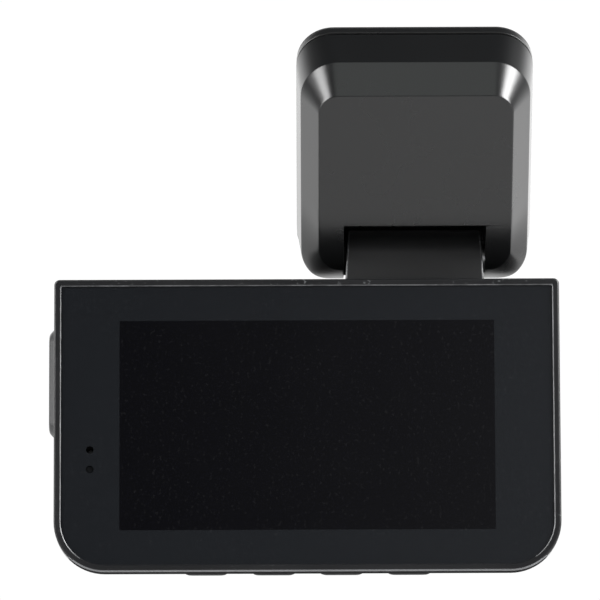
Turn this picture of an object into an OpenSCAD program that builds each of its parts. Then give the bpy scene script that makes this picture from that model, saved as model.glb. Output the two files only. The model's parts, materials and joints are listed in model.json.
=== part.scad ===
// Dash camera with a tilting windshield mount.
// Frame: origin at the centre of the adhesive face, +Z up, screen towards -Y, lens towards +Y.

/* [Camera body] */
// Width of the camera body
body_w = 89.6; // [86:0.2:96]
// Height of the camera body
body_h = 52.2; // [51:0.2:56]
// Radius of the two upper corners
top_corner_r = 1; // [0.6:0.1:2]
// Radius of the two lower corners
bottom_corner_r = 9; // [7:0.5:10]
// Depth of the rear frame in front of the glass face
frame_depth = 3.4; // [3.2:0.1:4]
// Depth of the whole body, from glass face to front wall
body_depth = 18.5; // [18:0.1:20]
// Wall thickness of the housing
wall = 1.8; // [1.4:0.1:2]

/* [Display] */
// Width of the rim around the glass
rim = 1.3; // [1:0.1:2]
// Depth of the glass below the rim
rim_lip = 0.3; // [0.1:0.1:0.5]
// Thickness of the cover glass
glass_t = 1.1; // [0.7:0.1:1.1]
// Active width of the 3 inch panel
screen_w = 66.4; // [60:0.1:67]
// Active height of the 3 inch panel
screen_h = 37.35; // [34:0.05:38]

/* [Lens] */
// Height of the lens axis above the middle of the screen
lens_z = 2; // [-2:0.5:4]
// Outer radius of the lens bezel
lens_bezel_r = 11.4; // [10.6:0.1:12]
// How far the lens stands in front of the body
lens_reach = 7; // [5:0.5:9]

/* [Buttons and port] */
// Width of one button
button_w = 7.8; // [7:0.1:8.5]
// Distance between neighbouring buttons
button_pitch = 12; // [11:0.5:13]
// Height of the port cover
port_cover_h = 19.9; // [19:0.1:20]
// How far the port cover stands out of the side
port_cover_rise = 1.15; // [0.8:0.05:1.3]

/* [Windshield mount] */
// Width of the mount's base
base_w = 42.3; // [40:0.1:46]
// Height of the mount's base
base_h = 47.6; // [46:0.1:50]
// Angle between the windshield and the camera's back at rest
rest_tilt = 41; // [30:1:60]
// Sideways distance from body centre to mount centre
mount_offset = 19.27; // [10:0.01:24]
// Height of the flat face above the glass
mount_t = 17.2; // [16.5:0.1:18]
// Width of the notch that takes the neck
notch_w = 25.2; // [25:0.1:28]

/* [Hinge] */
// Distance of the hinge axis from the windshield
hinge_out = 10.4; // [10.2:0.1:11]
// Distance of the hinge axis below the middle of the pad
hinge_down = 17.9; // [17:0.1:18.5]
// Height of the hinge axis above the camera's top
hinge_rise = 5.45; // [5.4:0.05:7]
// Distance from the glass face to the hinge axis
hinge_depth = 9.38; // [8.5:0.01:10]
// Radius of the hinge barrel
barrel_r = 4.8; // [4.5:0.1:4.9]
// Radius of the hinge pin
pin_r = 1.25; // [1:0.05:1.3]

/* [Hidden] */
$fn = 64;
eps = 0.01;
cut = 0.5;

// Camera frame: origin at the middle of the glass face
body_top = body_h / 2;
neck_x = mount_offset;
hinge_z = body_top + hinge_rise;
hinge_row_y = sin(rest_tilt) * hinge_down - cos(rest_tilt) * hinge_out;
hinge_row_z = -cos(rest_tilt) * hinge_down - sin(rest_tilt) * hinge_out;
glass_w = body_w - 2 * rim;
glass_h = body_h - 2 * rim + 0.1;
glass_top_r = 0.3;
glass_bottom_r = bottom_corner_r - rim - 0.1;
glass_gap = 0.05;
tape_t = 0.3;
shelf_y = glass_t + tape_t;

// Housing: the underside rises towards the front
side_end = body_depth - 3;
inner_front = body_depth - wall;
underside_slope = 0.198;
front_rise = underside_slope * (side_end - frame_depth);
// Rounding of the front edge: [inset, distance behind the front wall]
front_edge = [[0, 3], [0.6, 1.5], [1.7, 0.4], [3.2, 0]];
corner_bosses = [[-40.4, 21.6], [40.4, 21.6], [-38.6, -15.6], [38.6, -15.6]];
boss_r = 2.3;
boss_seat = 5.4;
corner_screw_r = 0.8;
corner_head_r = 1.8;
corner_head_seat = 14;

// Display stack
window_w = 70.4;
window_h = 42;
panel_w = 69.4;
panel_h = 41.2;
panel_end = 2.7;
backlight_end = 4.1;
tray_end = 4.7;
tray_w = 72;
tray_h = 47.2;
tray_screw_at = [[-30, 22.4], [30, 22.4], [-30, -22.4], [30, -22.4]];
tray_screw_r = 0.6;
ribbon_w = 16;
ribbon_t = 0.2;
ribbon_z = -16.9;

// Boards
board_y = [7, 8];
board_w = 80;
board_z = [-18, 21.6];
standoffs = [[-33, 18.5], [5.5, 18.5], [-33, -14], [33, -14]];
standoff_r = 2.1;
board_screw_r = 0.8;
dot_x = -38.43;
mic_z = -4.32;
led_z = -7.82;
dot_r = 0.68;
frame_dot_r = 0.8;

// Processor stack
chip_at = [-12, -11];
shield_size = [18, 14];
shield_end = 10.4;
thermal_end = 11.4;
sink_end = 14.6;

// Lens
lens_x = neck_x;
lens_front = body_depth + lens_reach;
lens_bore_r = 9;
thread_r = 6;
barrel_head_r = 8.3;
barrel_bore_r = 4.5;
mouth_r = 6.8;

// Buttons
button_y = [6.2, 9.6];
button_z = [-25.8, -22.6];
button_flange = 0.7;
button_gap = 0.2;
button_x = [for (i = [0:3]) (i - 1.5) * button_pitch];
switch_z = -21.1;
button_board_z = -19.6;

// Ports
port_z = 8.5;
recess_gap = 0.2;
cover_y = [4.6, 10.6];
knuckle_y = 11.6;
knuckle_depth = 0.6;
knuckle_r = 0.75;
cover_pin_r = 0.4;
cover_back = 0.9;
recess_depth = 1.45;

// Speaker
speaker_at = [-23, 6];
speaker_r = 8;
speaker_y = [13.2, 16.4];
grille_rings = [[1, 0], [6, 2.4], [12, 4.8]];
grille_hole_r = 0.6;

// Mount frame: x sideways, y up the plate, z away from the windshield
pad_t = 0.8;
plate_t = 1.7;
shell_back = pad_t + plate_t;
shoulder = 10.9;
shoulder_w = base_w - 1.8;
shoulder_y = [-23.2, 22.6];
flat_w = 34.1;
flat_y = [-7.5, 19.2];
ramp_end_y = -18;
ramp_end_z = 14.5;
bend_drop = 0.55;
mount_wall = 2;
notch_top = -7.5;
notch_floor = 5;
plate_screw_at = [[-16.6, 16.5], [16.6, 16.5], [-17.2, -15], [17.2, -15]];
plate_screw_r = 0.85;
cheek = notch_w / 2 + 4.2;
pin_end = cheek - 0.8;
washer_seat = 11;
washer_r = 3.2;
wave_t = 0.5;
bush_r = 2.4;
bush_bore_r = pin_r + 0.05;

// ---------------------------------------------------------------- helpers

module in_camera() {
    translate([-neck_x, hinge_row_y - hinge_depth, hinge_row_z - hinge_z]) children();
}

module in_mount() {
    rotate([90 + rest_tilt, 0, 0]) children();
}

// Box between two corners
module block(low, high) {
    translate(low) cube(high - low);
}

// Extrude an outline drawn in x and z along y
module along_y(span) {
    translate([0, span[1], 0]) rotate([90, 0, 0]) linear_extrude(span[1] - span[0]) children();
}

// Extrude an outline drawn in y and z along x
module along_x(span) {
    translate([span[0], 0, 0]) rotate([90, 0, 90]) linear_extrude(span[1] - span[0]) children();
}

module rod_y(at, span, r) {
    translate([at[0], span[0], at[1]]) rotate([-90, 0, 0]) cylinder(h = span[1] - span[0], r = r);
}

module cone_y(at, span, r1, r2) {
    translate([at[0], span[0], at[1]]) rotate([-90, 0, 0]) cylinder(h = span[1] - span[0], r1 = r1, r2 = r2);
}

module rod_x(at, span, r) {
    translate([span[0], at[0], at[1]]) rotate([0, 90, 0]) cylinder(h = span[1] - span[0], r = r);
}

module rod_z(at, span, r) {
    translate([at[0], at[1], span[0]]) cylinder(h = span[1] - span[0], r = r);
}

// Rectangle with its own radius on the upper and the lower corners
module outline(w, h, r_top, r_bottom) {
    for (side = [-1, 1]) {
        translate([side * (w / 2 - r_top), h / 2 - r_top]) circle(r_top);
        translate([side * (w / 2 - r_bottom), r_bottom - h / 2]) circle(r_bottom);
    }
    translate([r_bottom - w / 2, -h / 2]) square([w - 2 * r_bottom, h - r_top]);
    translate([-w / 2, r_bottom - h / 2]) square([w, h - r_top - r_bottom]);
    translate([r_top - w / 2, h / 2 - r_top - eps]) square([w - 2 * r_top, r_top + eps]);
}

// Thin slice of the housing at one depth
module body_slice(y, inset, rise) {
    w = body_w - 2 * inset;
    h = body_h - 2 * inset - rise;
    along_y([y - eps, y])
        translate([0, rise / 2])
            outline(w, h, max(top_corner_r, 0.6), bottom_corner_r - 1, $fn = 32);
}

// Head and shank of a small screw that points along +y
module screw_y(at, head, shank_end, head_r, shank_r) {
    difference() {
        rod_y(at, head, head_r);
        for (turn = [0, 90])
            translate([at[0], head[0], at[1]])
                rotate([0, turn, 0]) cube([head_r * 1.2, 0.8, head_r * 0.3], center = true);
    }
    rod_y(at, [head[1] - eps, shank_end], shank_r);
}

// ---------------------------------------------------------------- windshield mount

module adhesive_pad() {
    color("#1b1b1c") in_mount()
        linear_extrude(pad_t) outline(base_w - 0.5, base_h - 0.5, 6.4, 6.8);
}

module mount_base_plate() {
    color("#202122") in_mount() difference() {
        translate([0, 0, pad_t]) linear_extrude(plate_t) outline(base_w, base_h, 6.6, 7);
        for (at = plate_screw_at) {
            rod_z(at, [0, shell_back + cut], plate_screw_r + 0.1);
            rod_z(at, [0, pad_t + 0.9], 2.1);
        }
    }
}

module mount_slice(z, w, y_span, r_top, r_bottom) {
    translate([0, (y_span[0] + y_span[1]) / 2, z - eps])
        linear_extrude(eps) outline(w, y_span[1] - y_span[0], r_top, r_bottom, $fn = 32);
}

// Outer or inner skin of the mount's shell, drawn in by a wall thickness
module mount_skin(inset) {
    low = -shoulder_y[0] - inset;
    high = shoulder_y[1] - inset;
    side = 2 * inset;
    floor_z = inset > 0 ? shell_back - cut : shell_back + eps;
    hull() {
        mount_slice(floor_z, shoulder_w + 1.3 - side, [-low - 0.2, high + 0.7], 6.6 - inset, 6.8 - inset);
        mount_slice(shoulder - inset * 0.3, shoulder_w - side, [-low, high], 6.3 - inset, 6.9 - inset);
        mount_slice(mount_t - inset, flat_w - inset, [flat_y[0] + 2, flat_y[1] - inset / 2],
            3.6 - inset / 2, 0.4);
        mount_slice(mount_t - bend_drop - inset, flat_w - inset, [flat_y[0] - 2, flat_y[0] + 1], 0.4, 0.4);
        mount_slice(ramp_end_z - inset, flat_w - inset, [ramp_end_y + inset / 2, flat_y[0] - 3], 0.4, 3.8);
    }
}

module mount_shell() {
    color("#26272a") in_mount() difference() {
        mount_skin(0);
        difference() {
            mount_skin(mount_wall);
            block([-cheek, shoulder_y[0] - cut, notch_floor - mount_wall],
                [cheek, notch_top + mount_wall, mount_t]);
            for (at = plate_screw_at) rod_z(at, [shell_back - cut, mount_t], 2.3);
        }
        block([-notch_w / 2, shoulder_y[0] - 2, notch_floor], [notch_w / 2, notch_top, mount_t + 2]);
        for (at = plate_screw_at) rod_z(at, [0, 8], plate_screw_r);
        rod_x([-hinge_down, hinge_out], [-pin_end, pin_end], pin_r);
    }
}

module base_plate_screws() {
    color("#8d8f92") in_mount() for (at = plate_screw_at) difference() {
        union() {
            rod_z(at, [pad_t, pad_t + 0.9], 2);
            rod_z(at, [pad_t + 0.8, 7.5], plate_screw_r);
        }
        for (turn = [0, 90])
            translate([at[0], at[1], pad_t]) rotate(turn) cube([2.4, 0.6, 0.9], center = true);
    }
}

// ---------------------------------------------------------------- hinge

// Steel pin held in the two cheeks of the shell
module hinge_pin() {
    color("#9a9ca0") in_mount() rod_x([-hinge_down, hinge_out], [-pin_end, pin_end], pin_r);
}

// Sprung washer that keeps the hinge under load
module wave_washer() {
    color("#85878b") in_mount() difference() {
        rod_x([-hinge_down, hinge_out], [notch_w / 2 - wave_t, notch_w / 2], washer_r - 0.3);
        rod_x([-hinge_down, hinge_out], [washer_seat, notch_w / 2 + cut], pin_r + 0.1);
    }
}

module friction_washers() {
    spans = [[-notch_w / 2, -washer_seat - 0.05], [washer_seat + 0.05, notch_w / 2 - wave_t]];
    color("#161618") in_mount() for (span = spans) difference() {
        rod_x([-hinge_down, hinge_out], span, washer_r);
        rod_x([-hinge_down, hinge_out], [span[0] - cut, span[1] + cut], pin_r + 0.05);
    }
}

// Neck: a barrel around the hinge pin on a stem that widens towards the camera
module hinge_neck() {
    top_half = 11.8;
    foot_half = 12.4;
    color("#1f2022") in_camera() difference() {
        intersection() {
            along_y([hinge_depth - barrel_r, hinge_depth + barrel_r])
                polygon([
                    [neck_x - foot_half, body_top], [neck_x + foot_half, body_top],
                    [neck_x + top_half, hinge_z + barrel_r], [neck_x - top_half, hinge_z + barrel_r]
                ]);
            along_x([neck_x - foot_half, neck_x + foot_half]) {
                translate([hinge_depth, hinge_z]) circle(barrel_r);
                translate([hinge_depth - barrel_r, body_top]) square([2 * barrel_r, hinge_rise]);
            }
        }
        rod_x([hinge_depth, hinge_z], [neck_x - foot_half - 1, neck_x + foot_half + 1], bush_r);
        for (side = [-1, 1])
            rod_x([hinge_depth, hinge_z],
                [neck_x + side * (washer_seat + 2) - 2, neck_x + side * (washer_seat + 2) + 2],
                washer_r + 0.3);
        for (at = [-8, 8]) rod_z([neck_x + at, hinge_depth], [body_top - 1, hinge_z - bush_r - 0.2], 0.8);
    }
}

module barrel_bushes() {
    color("#d8d5cc") in_camera() for (side = [0, 1])
        translate([neck_x, 0, 0]) mirror([side, 0, 0]) difference() {
            rod_x([hinge_depth, hinge_z], [3, washer_seat], bush_r);
            rod_x([hinge_depth, hinge_z], [3 - cut, washer_seat + cut], bush_bore_r);
        }
}

module neck_backing_plate() {
    top = body_top - wall;
    color("#8f9194") in_camera() difference() {
        block([neck_x - 12, hinge_depth - 4, top - 1], [neck_x + 12, hinge_depth + 4, top]);
        for (at = [-8, 8]) rod_z([neck_x + at, hinge_depth], [top - 2, top + 1], 1.1);
    }
}

module neck_screws() {
    seat = body_top - wall - 1;
    color("#7c7e82") in_camera() for (at = [-8, 8]) difference() {
        union() {
            rod_z([neck_x + at, hinge_depth], [seat - 1.3, seat], 1.8);
            rod_z([neck_x + at, hinge_depth], [seat - eps, hinge_z - bush_r - 0.5], 0.8);
        }
        for (turn = [0, 90])
            translate([neck_x + at, hinge_depth, seat - 1.3]) rotate(turn) cube([2.2, 0.5, 1], center = true);
    }
}

// ---------------------------------------------------------------- casing

module rear_frame() {
    color("#242527") in_camera() difference() {
        union() {
            along_y([-rim_lip, frame_depth]) outline(body_w, body_h, top_corner_r, bottom_corner_r);
            for (at = corner_bosses) rod_y(at, [frame_depth - eps, boss_seat], boss_r);
        }
        along_y([-rim_lip - cut, shelf_y])
            outline(glass_w + 2 * glass_gap, glass_h + 2 * glass_gap, glass_top_r, glass_bottom_r);
        along_y([shelf_y - cut, frame_depth + cut]) square([window_w, window_h], center = true);
        for (z = [mic_z, led_z]) rod_y([dot_x, z], [0, frame_depth + cut], frame_dot_r);
        for (at = corner_bosses) rod_y(at, [shelf_y + 0.6, boss_seat + cut], corner_screw_r);
        for (at = tray_screw_at) rod_y(at, [shelf_y + 0.5, frame_depth + cut], tray_screw_r);
    }
}

module housing_outside() {
    hull() {
        along_y([frame_depth, frame_depth + eps])
            outline(body_w, body_h, top_corner_r, bottom_corner_r, $fn = 32);
        for (edge = front_edge) body_slice(body_depth - edge[1], edge[0], front_rise);
    }
}

module housing_inside() {
    hull() {
        along_y([frame_depth - cut, frame_depth])
            outline(body_w - 2 * wall, body_h - 2 * wall, 0.6, bottom_corner_r - wall, $fn = 32);
        body_slice(inner_front - 1.2, wall, front_rise);
        body_slice(inner_front, wall + 1.2, front_rise);
    }
}

module port_recess() {
    wall_x = -body_w / 2;
    half = port_cover_h / 2 + recess_gap;
    block([wall_x - 1, cover_y[0] - recess_gap, port_z - half],
        [wall_x + recess_depth, knuckle_y + 1, port_z + half]);
    block([wall_x, 7.8, port_z - 4.7], [wall_x + wall + 1, 11.4, port_z + 4.7]);
    block([wall_x, 5.4, port_z - 6], [wall_x + wall + 1, 7.1, port_z + 6]);
    rod_z([wall_x + knuckle_depth, knuckle_y], [port_z - half - 1.2, port_z + half + 1.2], cover_pin_r);
}

module front_housing() {
    color("#232426") in_camera() difference() {
        union() {
            difference() {
                housing_outside();
                housing_inside();
            }
            cone_y([lens_x, lens_z], [inner_front + 0.5, lens_front - 1], 13, lens_bezel_r);
            for (at = corner_bosses) rod_y(at, [boss_seat, inner_front + eps], boss_r);
            for (at = standoffs) rod_y(at, [board_y[1], inner_front + eps], standoff_r);
            for (side = [-1, 1])
                block([side * 26.6 - 1.2, 5.6, button_board_z - 1],
                    [side * 26.6 + 1.2, inner_front, button_board_z]);
            difference() {
                rod_y(speaker_at, [14, inner_front + eps], speaker_r + 1.2);
                rod_y(speaker_at, [13, inner_front], speaker_r + 0.1);
            }
        }
        rod_y([lens_x, lens_z], [10, lens_front + 1], lens_bore_r);
        for (at = corner_bosses) {
            rod_y(at, [boss_seat - 1, body_depth + 1], corner_screw_r + 0.1);
            rod_y(at, [corner_head_seat, body_depth + 1], corner_head_r);
        }
        for (at = standoffs) rod_y(at, [board_y[1] - 1, inner_front - 1], board_screw_r);
        for (x = button_x)
            block(
                [x - button_w / 2 - button_gap, button_y[0] - button_gap, -30],
                [x + button_w / 2 + button_gap, button_y[1] + button_gap, -20]
            );
        port_recess();
        for (ring = grille_rings, i = [1:ring[0]]) {
            turn = i * 360 / ring[0];
            at = speaker_at + ring[1] * [cos(turn), sin(turn)];
            rod_y(at, [inner_front - 1, body_depth + 1], grille_hole_r, $fn = 24);
        }
        for (i = [0:7]) translate([-34 + 4 * i, 0, 0])
            block([-0.7, 7, body_top - wall - 1], [0.7, 13, body_top + 1]);
        for (at = [-8, 8]) rod_z([neck_x + at, hinge_depth], [body_top - 4, body_top + 1], 1);
    }
}

module housing_screws() {
    color("#2a2b2d") in_camera() for (at = corner_bosses) difference() {
        union() {
            rod_y(at, [corner_head_seat, corner_head_seat + 1.3], corner_head_r - 0.15);
            rod_y(at, [shelf_y + 0.9, corner_head_seat + eps], corner_screw_r);
        }
        for (turn = [0, 90])
            translate([at[0], corner_head_seat + 1.3, at[1]])
                rotate([0, turn, 0]) cube([2, 1, 0.5], center = true);
    }
}

// ---------------------------------------------------------------- display

module display_glass() {
    color("#141518") in_camera() difference() {
        along_y([0, glass_t]) outline(glass_w, glass_h, glass_top_r, glass_bottom_r);
        for (z = [mic_z, led_z]) rod_y([dot_x, z], [-1, glass_t + 1], dot_r);
    }
}

module glass_tape() {
    color("#0e0e0f") in_camera() difference() {
        along_y([glass_t, shelf_y]) outline(glass_w - 0.6, glass_h - 0.6, 0.3, glass_bottom_r - 0.3);
        along_y([glass_t - cut, shelf_y + cut]) square([window_w, window_h], center = true);
        for (z = [mic_z, led_z]) rod_y([dot_x, z], [0, shelf_y + cut], frame_dot_r);
    }
}

module display_panel() {
    color("#07080b") in_camera()
        along_y([glass_t, panel_end]) square([panel_w, panel_h], center = true);
}

module display_backlight() {
    color("#d9dde0") in_camera() difference() {
        along_y([panel_end, backlight_end]) square([panel_w, panel_h], center = true);
        along_y([panel_end - cut, panel_end + 0.3]) square([screen_w, screen_h], center = true);
    }
}

module display_tray() {
    color("#a3a6aa") in_camera() difference() {
        along_y([frame_depth, tray_end]) square([tray_w, tray_h], center = true);
        along_y([frame_depth - cut, backlight_end]) square([panel_w + 0.2, panel_h + 0.2], center = true);
        block([-ribbon_w / 2 - 0.6, backlight_end - cut, ribbon_z - 0.3],
            [ribbon_w / 2 + 0.6, tray_end + cut, ribbon_z + 0.5]);
        for (at = tray_screw_at) rod_y(at, [frame_depth - cut, tray_end + cut], tray_screw_r + 0.1);
    }
}

module tray_screws() {
    color("#8d8f92") in_camera() for (at = tray_screw_at) {
        rod_y(at, [tray_end, tray_end + 0.6], 1);
        rod_y(at, [shelf_y + 0.7, tray_end + eps], tray_screw_r);
    }
}

module display_ribbon() {
    color("#a8681f") in_camera() {
        block([-ribbon_w / 2, backlight_end, ribbon_z], [ribbon_w / 2, 6.6, ribbon_z + ribbon_t]);
        block([-ribbon_w / 2, 6.6 - ribbon_t, ribbon_z], [ribbon_w / 2, 6.6, -14.5]);
    }
}

// ---------------------------------------------------------------- boards

module main_board() {
    color("#12402a") in_camera() difference() {
        block([-board_w / 2, board_y[0], board_z[0]], [board_w / 2, board_y[1], board_z[1]]);
        for (at = corner_bosses) rod_y(at, [board_y[0] - 1, board_y[1] + 1], boss_r + 0.5);
        for (at = standoffs) rod_y(at, [board_y[0] - 1, board_y[1] + 1], board_screw_r + 0.2);
    }
}

module board_screws() {
    color("#8d8f92") in_camera() for (at = standoffs)
        screw_y(at, [board_y[0] - 1.1, board_y[0]], 13, 1.6, board_screw_r);
}

// Chips on the rear face of the main board
module board_chips() {
    back = board_y[0];
    color("#1a1a1c") in_camera() {
        block([-22, back - 1, -2], [-12, back, 10]);
        block([-6, back - 1, 2], [2, back, 8]);
        block([8, back - 0.9, -4], [13, back, 1]);
        block([18, back - 1.2, 8], [23, back, 13]);
        block([26, back - 1.2, 8], [31, back, 13]);
        for (i = [0:5]) block([16 + 3 * i, back - 0.8, -10], [17.6 + 3 * i, back, -9.2]);
    }
}

module board_connectors() {
    color("#d6cfb8") in_camera() {
        block([-9, board_y[0] - 1, -14.5], [9, board_y[0], -12.4]);
        block([lens_x - 5, board_y[1], lens_z - 8.6], [lens_x + 5, 9, lens_z - 6.4]);
        block([-30, board_y[1], board_z[0]], [-24, board_y[1] + 2.2, board_z[0] + 3]);
        block([-29, board_y[1] + 0.6, button_board_z + 0.8], [-25, board_y[1] + 1.6, board_z[0] + eps]);
    }
}

module processor() {
    color("#202124") in_camera()
        block([chip_at[0] - 6, board_y[1], chip_at[1] - 5.5],
            [chip_at[0] + 6, board_y[1] + 1.2, chip_at[1] + 5.5]);
}

module processor_shield() {
    w = shield_size[0] / 2;
    h = shield_size[1] / 2;
    skin = 0.3;
    color("#b7babd") in_camera() difference() {
        block([chip_at[0] - w, board_y[1], chip_at[1] - h], [chip_at[0] + w, shield_end, chip_at[1] + h]);
        block(
            [chip_at[0] - w + skin, board_y[1] - cut, chip_at[1] - h + skin],
            [chip_at[0] + w - skin, shield_end - skin, chip_at[1] + h - skin]
        );
    }
}

module thermal_pad() {
    color("#7f93a8") in_camera()
        block([chip_at[0] - 6, shield_end, chip_at[1] - 5], [chip_at[0] + 6, thermal_end, chip_at[1] + 5]);
}

module heat_sink() {
    color("#a9acb0") in_camera() {
        block([chip_at[0] - 8, thermal_end, chip_at[1] - 6.5],
            [chip_at[0] + 8, thermal_end + 1, chip_at[1] + 6.5]);
        for (i = [0:5])
            block(
                [chip_at[0] - 8 + 3 * i, thermal_end + 1 - eps, chip_at[1] - 6.5],
                [chip_at[0] - 7 + 3 * i, sink_end, chip_at[1] + 6.5]
            );
    }
}

module supercapacitors() {
    color("#27344d") in_camera() for (z = [6.2, 14.8])
        rod_x([board_y[1] + 4, z], [-12.5, 1.5], 4);
}

// ---------------------------------------------------------------- lens and sensor

module lens_bezel() {
    color("#2c2d30") in_camera() difference() {
        cone_y([lens_x, lens_z], [lens_front - 1, lens_front], lens_bezel_r, lens_bezel_r - 0.6);
        cone_y([lens_x, lens_z], [lens_front - 1 - eps, lens_front + eps], 8.4, 9.6);
    }
}

module lens_barrel() {
    axis = [lens_x, lens_z];
    color("#101012") in_camera() difference() {
        union() {
            rod_y(axis, [11.6, 15.6], thread_r);
            rod_y(axis, [15.6 - eps, lens_front - 1.6], barrel_head_r);
        }
        rod_y(axis, [11, lens_front], barrel_bore_r);
        rod_y(axis, [19.4, lens_front], mouth_r);
        cone_y(axis, [lens_front - 2.6, lens_front - 1.5], mouth_r, mouth_r + 1);
    }
}

module lens_front_element() {
    axis = [lens_x, lens_z];
    color("#2a2340") in_camera() intersection() {
        rod_y(axis, [19.4, lens_front - 1.2], mouth_r);
        translate([lens_x, lens_front - 2 - 9.5, lens_z]) sphere(9.5);
    }
}

module lens_inner_elements() {
    axis = [lens_x, lens_z];
    color("#3b3350") in_camera() {
        rod_y(axis, [12.4, 13.8], barrel_bore_r);
        rod_y(axis, [14.8, 16.8], barrel_bore_r);
    }
}

module lens_holder() {
    color("#1d1d1f") in_camera() difference() {
        block([lens_x - 8.4, 9.8, lens_z - 8.4], [lens_x + 8.4, 15.2, lens_z + 8.4]);
        rod_y([lens_x, lens_z], [11.3, 16], thread_r);
        block([lens_x - 4.6, 9, lens_z - 4.6], [lens_x + 4.6, 11.4, lens_z + 4.6]);
    }
}

module lens_seal() {
    color("#0d0d0d") in_camera() difference() {
        rod_y([lens_x, lens_z], [18.8, 20.4], lens_bore_r);
        rod_y([lens_x, lens_z], [18, 21], barrel_head_r);
    }
}

module infrared_filter() {
    color("#6f4b5d") in_camera()
        block([lens_x - 4.6, 10.9, lens_z - 4.6], [lens_x + 4.6, 11.3, lens_z + 4.6]);
}

module sensor_board() {
    color("#123a66") in_camera()
        block([lens_x - 9.8, 9, lens_z - 9.8], [lens_x + 9.8, 9.8, lens_z + 9.8]);
}

module image_sensor() {
    color("#30434a") in_camera()
        block([lens_x - 3.6, 9.8, lens_z - 3], [lens_x + 3.6, 10.6, lens_z + 3]);
}

// ---------------------------------------------------------------- buttons

module button_board() {
    color("#12402a") in_camera()
        block([-27.4, 5.6, button_board_z], [27.4, 11, button_board_z + 0.8]);
}

module tact_switches() {
    middle = (button_y[0] + button_y[1]) / 2;
    color("#b7babd") in_camera() for (x = button_x) {
        block([x - 2.2, middle - 2.2, switch_z], [x + 2.2, middle + 2.2, button_board_z]);
        rod_z([x, middle], [switch_z - 0.3, switch_z + eps], 1.1);
    }
}

// Button cap with a flange inside the housing that holds it in
module button_cap(x) {
    half = button_w / 2;
    color("#2b2c2f") in_camera() {
        block([x - half, button_y[0], button_z[0]], [x + half, button_y[1], button_z[1] + eps]);
        block(
            [x - half - 0.8, button_y[0] - 0.8, button_z[1]],
            [x + half + 0.8, button_y[1] + 0.8, button_z[1] + button_flange]
        );
    }
}

// ---------------------------------------------------------------- ports

module usb_socket() {
    color("#b7babd") in_camera() {
        difference() {
            block([-43.2, board_y[1], port_z - 4.5], [-36, board_y[1] + 3.2, port_z + 4.5]);
            block([-44, board_y[1] + 0.3, port_z - 4.2], [-37, board_y[1] + 2.9, port_z + 4.2]);
        }
        block([-42.6, board_y[1] + 1.25, port_z - 3.4], [-36.9, board_y[1] + 1.95, port_z + 3.4]);
    }
}

module card_socket() {
    color("#b7babd") in_camera() difference() {
        block([-42.8, board_y[0] - 1.5, port_z - 7], [-27, board_y[0], port_z + 7]);
        block([-44, board_y[0] - 1.2, port_z - 5.6], [-27.6, board_y[0] - 0.3, port_z + 5.6]);
    }
}

module memory_card() {
    color("#17181a") in_camera()
        block([-43.3, board_y[0] - 1.1, port_z - 5.5], [-28.6, board_y[0] - 0.4, port_z + 5.5]);
}

module port_cover() {
    x0 = -body_w / 2;
    half = port_cover_h / 2;
    slope = 1.2;
    color("#1d1e20") in_camera() difference() {
        union() {
            intersection() {
                translate([0, 0, port_z - half]) linear_extrude(port_cover_h)
                    polygon([
                        [x0 + cover_back, cover_y[0]], [x0, cover_y[0]],
                        [x0 - port_cover_rise, cover_y[0] + 0.9], [x0 - port_cover_rise, cover_y[1] - 0.9],
                        [x0 - 0.1, cover_y[1]], [x0, knuckle_y], [x0 + cover_back, knuckle_y]
                    ]);
                along_y([cover_y[0] - 1, knuckle_y + 2]) translate([x0, port_z])
                    polygon([
                        [recess_depth, -half], [0, -half], [-port_cover_rise, slope - half],
                        [-port_cover_rise, half - slope], [0, half], [recess_depth, half]
                    ]);
            }
            rod_z([x0 + knuckle_depth, knuckle_y], [port_z - half, port_z + half], knuckle_r);
        }
        rod_z([x0 + knuckle_depth, knuckle_y], [port_z - half - 1, port_z + half + 1], cover_pin_r + 0.05);
    }
}

module port_cover_pin() {
    half = port_cover_h / 2 + recess_gap + 1.2;
    color("#9a9ca0") in_camera()
        rod_z([-body_w / 2 + knuckle_depth, knuckle_y], [port_z - half, port_z + half], cover_pin_r);
}

// ---------------------------------------------------------------- sound and light

module speaker() {
    color("#3a3b3d") in_camera() {
        rod_y(speaker_at, [speaker_y[0] + 1.2, speaker_y[1]], speaker_r);
        rod_y(speaker_at, [speaker_y[0], speaker_y[0] + 1.2 + eps], 5);
    }
}

module speaker_mesh() {
    color("#0f0f10") in_camera() rod_y(speaker_at, [speaker_y[1], inner_front], speaker_r - 0.4);
}

module speaker_contacts() {
    color("#c9a64a") in_camera() for (side = [-1, 1])
        translate([speaker_at[0] + side * 2.5, 0, speaker_at[1]])
            block([-0.6, board_y[1], -1], [0.6, speaker_y[0], 1]);
}

module microphone() {
    color("#c9ccce") in_camera()
        block([dot_x - 1.5, board_y[0] - 1.1, mic_z - 1.2], [dot_x + 1.5, board_y[0], mic_z + 1.2]);
}

module microphone_boot() {
    color("#0d0d0d") in_camera() difference() {
        rod_y([dot_x, mic_z], [frame_depth, board_y[0] - 1.1], 1.9);
        rod_y([dot_x, mic_z], [frame_depth - cut, board_y[0]], 0.6);
    }
}

module status_led() {
    color("#e8e4d0") in_camera()
        block([dot_x - 0.8, board_y[0] - 0.7, led_z - 0.5], [dot_x + 0.8, board_y[0], led_z + 0.5]);
}

module led_light_pipe() {
    color("#c8ced2") in_camera() {
        rod_y([dot_x, led_z], [0.15, board_y[0] - 0.75], dot_r - 0.06);
        rod_y([dot_x, led_z], [frame_depth, frame_depth + 0.8], 1.2);
    }
}

// ---------------------------------------------------------------- nodes

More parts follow.
